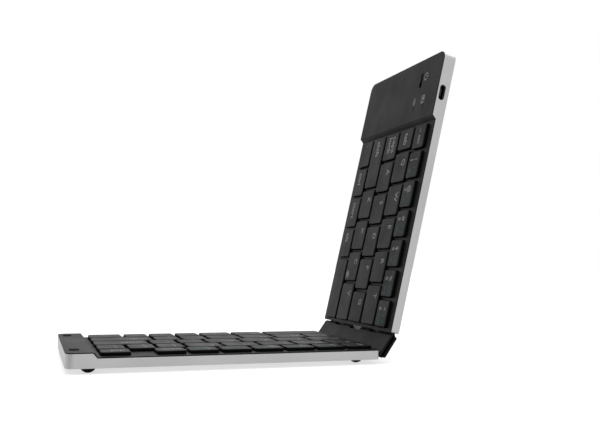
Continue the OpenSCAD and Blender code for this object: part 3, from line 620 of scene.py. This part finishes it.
def add_link(mesh, x, y, z):
    """A filled badge with a ring round it: the key that links the keyboard to a device."""
    around = [math.tau * i / BADGE_STEPS for i in range(BADGE_STEPS)]
    disc = [(x + DISC_R * math.cos(a), y + DISC_R * math.sin(a), z) for a in around]
    add_sheet(mesh, disc, [range(len(disc))], GREY)
    ring = [(x + RING_R * math.cos(a), y + RING_R * math.sin(a)) for a in around + around[:1]]
    add_stroke(mesh, ring, RING_LINE, z, GREY)


# Media marks for the second functions, as filled shapes of points about 3 high
TRIANGLE = [(-1.2, -1.5), (1.4, 0), (-1.2, 1.5)]
BAR = [(-0.5, -1.5), (0.4, -1.5), (0.4, 1.5), (-0.5, 1.5)]
HORN = [(-1.4, -0.6), (-0.5, -0.6), (0.7, -1.6), (0.7, 1.6), (-0.5, 0.6), (-1.4, 0.6)]
HOUSE = [(-1.1, -1.4), (1.1, -1.4), (1.1, 0.1), (1.6, 0.1), (0, 1.6), (-1.6, 0.1), (-1.1, 0.1)]
LENS_R, LENS_STEPS = 1.2, 12
LENS = [(LENS_R * math.cos(a), LENS_R * math.sin(a))
        for a in [math.tau * i / LENS_STEPS for i in range(LENS_STEPS)]]
BAG = [(-1.5, -1.3), (1.5, -1.3), (1.5, 0.7), (0.6, 0.7), (0.6, 1.4), (-0.6, 1.4), (-0.6, 0.7),
       (-1.5, 0.7)]


def shifted(shape, dx, flip=1):
    """A shape moved along X, and mirrored first if flip is -1."""
    points = [(flip * u + dx, v) for u, v in shape]
    return points if flip > 0 else points[::-1]


# The shapes that make up the media mark of each second function
MEDIA = {
    "F1": [HOUSE], "F2": [LENS], "F3": [BAG], "F4": [shifted(TRIANGLE, 0, -1)],
    "F5": [shifted(TRIANGLE, -1.2, -1), shifted(TRIANGLE, 1.3, -1)],
    "F6": [shifted(TRIANGLE, -1.4), shifted(BAR, 0.9), shifted(BAR, 2.2)],
    "F7": [shifted(TRIANGLE, -1.3), shifted(TRIANGLE, 1.2)], "F8": [HORN],
    "F9": [HORN, shifted(BAR, 1.7)], "F10": [HORN, shifted(BAR, 1.7), shifted(BAR, 3)],
    "F11": [LENS, shifted(BAR, 2.2)], "F12": [BAG, shifted(BAR, 2.4)],
}


# Size of the media marks, and how far name and mark stand from a cap's middle line
MEDIA_SIZE = 1.05
SECOND_RISE, MEDIA_DROP = 0.5, 2.2


def add_second(mesh, second, x, y, z):
    """The second function of a number key: its name, and its media mark in front of it."""
    add_text(mesh, second, x, y + SECOND_RISE, SECOND_EM, z, TEAL, anchor=(0.5, 0))
    for shape in MEDIA[second]:
        points = [(x + MEDIA_SIZE * u, y - MEDIA_DROP + MEDIA_SIZE * v, z) for u, v in shape]
        add_sheet(mesh, points, [range(len(points))], TEAL)


def add_legend(mesh, name, x, y, width, depth):
    """What is printed on a key, by its name."""
    left = x - width / 2 + LEFT_INSET
    rear, front = y + depth / 2 - REAR_INSET, y - depth / 2 + FRONT_INSET
    z = KEY_TOP + INK
    if name in PAIRS:
        lower, upper, second = PAIRS[name]
        add_text(mesh, upper, left + PAIR_SHIFT, rear, PAIR_EM, z, GREY, anchor=(0.5, 1))
        add_text(mesh, lower, left + PAIR_SHIFT, front, PAIR_EM, z, GREY, anchor=(0.5, 0))
        if second:
            add_second(mesh, second, x + width / 2 - RIGHT_INSET, y, z)
    elif name in WORDS or name == "fn":
        word, ink = (WORDS[name], GREY) if name in WORDS else ("Fn", TEAL)
        size = min(WORD_EM, (width - 2 * WORD_INSET) / text_length(word))
        add_text(mesh, word, x - width / 2 + WORD_INSET, y + WORD_RISE, size, z, ink,
                 anchor=(0, 0.5))
    elif name in ARROWS:
        add_arrow(mesh, x, y, ARROWS[name], z)
    elif len(name) == 1:
        add_text(mesh, name.upper(), left, rear, LETTER_EM, z, GREY, anchor=(0, 1))
        if name == "c":
            add_link(mesh, x + width / 2 - BADGE_RIGHT, y - depth / 2 + BADGE_FRONT, z)


def make_keys(side):
    """One piece for each body of keys on a half."""
    by_body = {}
    for cell in key_cells(side):
        by_body.setdefault(key_body(side, *cell[:2]), []).append(cell[1:])
    for body, keys in by_body.items():
        mesh = bmesh.new()
        for name, x, y, width, depth in keys:
            add_keycap(mesh, x, y, width, depth)
            add_legend(mesh, name, x, y, width, depth)
        item = finish_piece(f"caps_{body}", mesh, [KEYCAP, GREY_INK, TEAL_INK, KEY_SIDE_SHADE],
                            TYPING[side])
        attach(item, body)
        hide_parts(body)
        make_domes(side, body, [key[1:3] for key in keys])


# ---- Rubber domes, which flatten under their keys ----
# Radius and height of each ring above the contact sheet, from the hollow round to the tip
DOME_RINGS = [
    (0.85, 2.05), (1.05, 1.85), (1.85, 0.1), (1.9, 0), (2.6, 0), (2.6, 0.4), (2.42, 0.44),
    (2.3, 0.6), (1.62, 2.3), (1.5, 2.62), (1.36, 2.8), (1.2, 2.85),
]
DOME_STEPS = 20


def make_domes(side, body, places):
    """The domes under the keys of one body, in one piece that rides on its half."""
    mesh = bmesh.new()
    around = [math.tau * i / DOME_STEPS for i in range(DOME_STEPS)]
    for x, y in places:
        add_rings(mesh, [
            [Vector((x + r * math.cos(a), y + r * math.sin(a), SUPPORT_Z + z)) for a in around]
            for r, z in DOME_RINGS])
    item = finish_piece(f"domes_{body}", mesh, [DOME], TYPING[side])
    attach(item, f"{side}_half")
    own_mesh(item)
    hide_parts(f"{side}_domes")


# ---- Beads that fill the spine's round edges between its two covers ----
# Radius about the hinge axis, half the height, and the distance of the root from the axis
BEAD_R = 1.85
BEAD_HALF_H = 1.08
BEAD_ROOT = 0.5
# How far a bead runs from the middle
BEAD_END = 44.5
BEAD_STEPS = 8


def make_beads():
    """Two beads on the spine, one along each hinge axis, which give way at leaves and cable."""
    mesh = bmesh.new()
    notch = LEAF_W / 2 + LEAF_CLEAR
    widest = math.asin(BEAD_HALF_H / BEAD_R)
    arc = [widest * (2 * i / BEAD_STEPS - 1) for i in range(BEAD_STEPS + 1)]
    profile = [(BEAD_R * math.cos(a), BEAD_R * math.sin(a)) for a in arc]
    profile += [(BEAD_ROOT, BEAD_HALF_H), (BEAD_ROOT, -BEAD_HALF_H)]
    normal = Vector((-SPINE_RUN.z, 0, SPINE_RUN.x))
    for axis, out in ((LEFT_AXIS, SPINE_RUN), (RIGHT_AXIS, -SPINE_RUN)):
        for way in (-1, 1):
            for near, far in ((FLEX_CUT, STATION_Y - notch), (STATION_Y + notch, BEAD_END)):
                add_rings(mesh, [[axis + Vector((0, way * y, 0)) + u * out + v * normal
                                  for u, v in profile] for y in (near, far)])
    bmesh.ops.recalc_face_normals(mesh, faces=mesh.faces)
    item = finish_piece("spine_beads", mesh, [SPINE_CORE], Matrix.Scale(MM, 4))
    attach(item, "spine")


# ---- Printing on the left end panel, all of it in the piece's first material ----
PRINT = 0
# Place of each mark, from the outer end and from the rear edge
POWER_AT = (11.2, 16.1)
BATTERY_AT = (24.6, 14.6)
WAVES_AT = (24.3, 26.4)
# The power mark: radius, height of its middle, and line
POWER_R, POWER_DROP, POWER_LINE = 1.9, 0.2, 0.6
# The waves: their size, and their radii and line as shares of it
WAVES_SIZE = 2.6
WAVE_RADII = (0.15, 0.6, 1.05)
WAVE_LINE = 0.21


def add_power_mark(mesh, x, y, z):
    """A ring open at the rear with a bar in the opening."""
    ring = [(x + POWER_R * math.sin(a), y - POWER_DROP + POWER_R * math.cos(a))
            for a in [math.radians(d) for d in range(40, 321, 14)]]
    add_stroke(mesh, ring, POWER_LINE, z, PRINT)
    add_stroke(mesh, [(x, y + 0.1), (x, y + 2.2)], POWER_LINE, z, PRINT)


def add_waves(mesh, x, y, size, z, material):
    """A dot and arcs that spread from it: a wireless link."""
    for radius in WAVE_RADII:
        arc = [(x + size * radius * math.cos(a), y + size * radius * math.sin(a))
               for a in [math.radians(d) for d in range(35, 146, 10)]]
        add_stroke(mesh, arc, WAVE_LINE * size, z, material)


def add_battery_mark(mesh, x, y, z):
    """The outline of a cell with its terminal, half full."""
    box = [(x - 2.1, y - 1.5), (x + 1.6, y - 1.5), (x + 1.6, y + 1.5), (x - 2.1, y + 1.5)]
    add_stroke(mesh, box, 0.45, z, PRINT, closed=True)
    add_stroke(mesh, [(x + 2.1, y - 0.7), (x + 2.1, y + 0.7)], 0.6, z, PRINT)
    add_stroke(mesh, [(x - 1.45, y), (x + 0.1, y)], 1.7, z, PRINT)


def make_panel_marks():
    """The marks beside the switch and the two status lights, in one piece."""
    mesh = bmesh.new()
    z = PANEL_H + INK
    add_power_mark(mesh, POWER_AT[0] - OUTER_X, DEPTH / 2 - POWER_AT[1], z)
    add_battery_mark(mesh, BATTERY_AT[0] - OUTER_X, DEPTH / 2 - BATTERY_AT[1], z)
    add_waves(mesh, WAVES_AT[0] - OUTER_X, DEPTH / 2 - WAVES_AT[1], WAVES_SIZE, z, PRINT)
    item = finish_piece("panel_marks", mesh, [GREY_INK], TYPING["left"])
    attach(item, "left_half")


# ---- Flat cable, in two lengths that bend at the hinge axes ----
# How far the bend reaches from the axis, and the number of its steps
BEND_REACH = 1.6
BEND_STEPS = 12
# The stretch inside a half: distance from the hinge axis, and height in the half
CABLE_TAIL = [
    (CABLE_END_X, CABLE_Z), (7.5, CABLE_Z), (CABLE_RISE_X + 0.5, CABLE_Z),
    (CABLE_RISE_X, CABLE_Z - 0.02), (3, 2.65), (BEND_REACH, 2.52),
]


def cable_path(axis, out, up, toward_spine):
    """Points from a cable's end in a half, round the axis, to the middle of the spine."""
    points = [axis + x * out + (z - AXIS_H) * up for x, z in CABLE_TAIL]
    start, end = points[-1], axis + BEND_REACH * toward_spine
    for i in range(1, BEND_STEPS):
        t = i / BEND_STEPS
        points.append((1 - t) ** 2 * start + 2 * t * (1 - t) * axis + t * t * end)
    points += [end, axis + 3 * toward_spine, axis + AXIS_SPAN / 2 * toward_spine]
    return points


def make_cable(side, axis, out, up, toward_spine):
    """The length of the cable between one half and the middle of the spine."""
    path = cable_path(axis, out, up, toward_spine)
    rings = []
    for i, point in enumerate(path):
        run = (path[min(i + 1, len(path) - 1)] - path[max(i - 1, 0)]).normalized()
        over = Vector((-run.z, 0, run.x)) * CABLE_T / 2
        wide = Vector((0, CABLE_W / 2, 0))
        rings.append([point + over + wide, point + over - wide,
                      point - over - wide, point - over + wide])
    mesh = bmesh.new()
    add_rings(mesh, rings)
    bmesh.ops.recalc_face_normals(mesh, faces=mesh.faces)
    item = finish_piece(f"{side}_cable", mesh, [CABLE], Matrix.Scale(MM, 4))
    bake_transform(item)
    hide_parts("flat_cable")


# ---- Finishes of the CAD nodes that stay ----
NODE_FINISH = {
    TRAY: ["right_tray", "left_tray"],
    DECK: ["right_deck", "left_deck"],
    PLATE: ["right_key_plate", "left_key_plate"],
    STEEL: ["right_hinge_leaves", "left_hinge_leaves", "hinge_pins"],
    SCREW: ["right_screws", "left_screws"],
    CONTACT: ["right_contact_sheet", "left_contact_sheet"],
    RUBBER: ["right_feet", "left_feet", "end_pads"],
    SPINE_COVER: ["spine_front_cover", "spine_back_cover"],
    SPINE_CORE: ["spine_core"],
    BOARD: ["main_board"],
    POUCH: ["battery"],
    SOCKET: ["charging_socket"],
    WINDOW: ["status_windows"],
    SWITCH: ["switch_body", "switch_knob"],
}


def dress_nodes():
    """Gives each CAD node that stays its finish."""
    for material, names in NODE_FINISH.items():
        for name in names:
            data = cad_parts[name].data
            data.materials.clear()
            data.materials.append(material)


# ---- Camera: the photograph's, fitted to the corners of the two halves ----
# Roll, pan and tilt from a level look at the rear side, in radians
ROLL, PAN, TILT = 0.0310, -0.3342, -0.0551
# The point under the right hinge axis, level with the tray, as the camera sees it: its
# distances to the right, down and away
HINGE_FROM_CAMERA = Vector((26.4791, 71.7282, 431.8402))
LENS_MM = 46.763
SENSOR_MM = 36
NEAR_CLIP = 0.01


def make_camera():
    turn = (Matrix.Rotation(ROLL, 3, "Z") @ Matrix.Rotation(PAN, 3, "Y")
            @ Matrix.Rotation(TILT, 3, "X")
            @ Matrix(((-1, 0, 0), (0, 0, -1), (0, -1, 0))))
    origin = Vector((RIGHT_AXIS.x, 0, FOOT_H))
    spot = origin - turn.transposed() @ HINGE_FROM_CAMERA
    data = bpy.data.cameras.new("camera")
    data.sensor_fit = "HORIZONTAL"
    data.sensor_width = SENSOR_MM
    data.lens = LENS_MM
    data.clip_start = NEAR_CLIP
    item = bpy.data.objects.new("camera", data)
    bpy.context.scene.collection.objects.link(item)
    axes = Matrix((turn[0], -turn[1], -turn[2])).transposed()
    item.matrix_world = Matrix.Translation(MM * spot) @ axes.to_4x4()
    bpy.context.scene.camera = item


# ---- Floor and light ----
SKY_FILL = 0.72
# Strength of the two soft suns, and the way to each
SUNS = {"front": (1.0, (0.188, 0.423, 0.886)), "back": (0.8, (-0.35, -0.25, 0.9))}
SUN_SPREAD = math.radians(50)
FLOOR_SHADE = 0.5
FLOOR_SIZE = 4000
# How far the floor lies under the feet, so that they don't share a plane
FLOOR_DROP = 0.05
# Light added to the floor where it is looked at, and where it is reflected
FLOOR_LIFT = {"Is Camera Ray": 0.62, "Is Glossy Ray": 0.36}


def make_floor():
    """White where the camera looks at it, and still with the shadow of the keyboard."""
    mesh = bmesh.new()
    bmesh.ops.create_grid(mesh, x_segments=2, y_segments=2, size=FLOOR_SIZE)
    material, shader = new_material("Floor, white paper", Roughness=0.9)
    shader.inputs["Base Color"].default_value = (FLOOR_SHADE, FLOOR_SHADE, FLOOR_SHADE, 1)
    shader.inputs["Emission Color"].default_value = (1, 1, 1, 1)
    rays = material.node_tree.nodes.new("ShaderNodeLightPath")
    so_far = None
    for label, lift in FLOOR_LIFT.items():
        share = material.node_tree.nodes.new("ShaderNodeMath")
        share.operation = "MULTIPLY_ADD"
        share.inputs[1].default_value = lift
        share.inputs[2].default_value = 0
        join(material, rays.outputs[label], share.inputs[0])
        if so_far:
            join(material, so_far, share.inputs[2])
        so_far = share.outputs["Value"]
    join(material, so_far, shader.inputs["Emission Strength"])
    item = finish_piece("floor", mesh, [material],
                        Matrix.Scale(MM, 4) @ Matrix.Translation((0, 0, -FLOOR_DROP)))


# A dark card beside the camera, for the soft dark line down the flat half's rounded corner
CARD_AT = Vector((300, 132, 135))
CARD_SIZE = (280, 260)
CARD_SHADE = 0.01
# The corner that it faces
CARD_AIM = Vector((95, 45, 0))


def make_card():
    """The card shows in reflections alone: it hides from the camera and casts no shadow."""
    mesh = bmesh.new()
    way = CARD_AT - CARD_AIM
    across = Vector((-way.y, way.x, 0)).normalized() * CARD_SIZE[0] / 2
    up = Vector((0, 0, CARD_SIZE[1] / 2))
    corners = [CARD_AT - across - up, CARD_AT + across - up, CARD_AT + across + up,
               CARD_AT - across + up]
    add_sheet(mesh, corners, [range(4)], 0)
    material, shader = new_material("Card, black cloth", Roughness=0.95)
    shader.inputs["Base Color"].default_value = (CARD_SHADE, CARD_SHADE, CARD_SHADE, 1)
    item = finish_piece("dark_card", mesh, [material], Matrix.Scale(MM, 4))
    item.visible_camera = False
    item.visible_shadow = False


def make_world():
    """White where it is looked at or reflected, and a gentler fill for the rest."""
    world = bpy.data.worlds.new("studio")
    bpy.context.scene.world = world
    world.use_nodes = True
    nodes, links = world.node_tree.nodes, world.node_tree.links
    sky = nodes["Background"]
    sky.inputs["Color"].default_value = (1, 1, 1, 1)
    rays = nodes.new("ShaderNodeLightPath")
    seen = None
    for label in ("Is Camera Ray", "Is Glossy Ray", "Is Transmission Ray"):
        if seen is None:
            seen = rays.outputs[label]
            continue
        either = nodes.new("ShaderNodeMath")
        either.operation = "MAXIMUM"
        links.new(seen, either.inputs[0])
        links.new(rays.outputs[label], either.inputs[1])
        seen = either.outputs["Value"]
    level = nodes.new("ShaderNodeMapRange")
    level.inputs["To Min"].default_value = SKY_FILL
    level.inputs["To Max"].default_value = 1.0
    links.new(seen, level.inputs["Value"])
    links.new(level.outputs["Result"], sky.inputs["Strength"])


def make_lights():
    for name, (energy, way) in SUNS.items():
        sun = bpy.data.lights.new(f"{name}_sun", "SUN")
        sun.energy = energy
        sun.angle = SUN_SPREAD
        item = bpy.data.objects.new(f"{name}_sun", sun)
        bpy.context.scene.collection.objects.link(item)
        item.rotation_euler = Vector(way).to_track_quat("Z", "Y").to_euler()


make_camera()
make_floor()
make_card()
make_world()
make_lights()
dress_nodes()
for half in ("right", "left"):
    make_keys(half)
make_beads()
make_panel_marks()
ALONG_LEFT = Vector((-math.cos(LEFT_LIFT), 0, math.sin(LEFT_LIFT)))
UP_LEFT = Vector((math.sin(LEFT_LIFT), 0, math.cos(LEFT_LIFT)))
make_cable("right", RIGHT_AXIS, Vector((1, 0, 0)), Vector((0, 0, 1)), SPINE_RUN)
make_cable("left", LEFT_AXIS, ALONG_LEFT, UP_LEFT, -SPINE_RUN)
bpy.context.scene.view_settings.view_transform = "Standard"
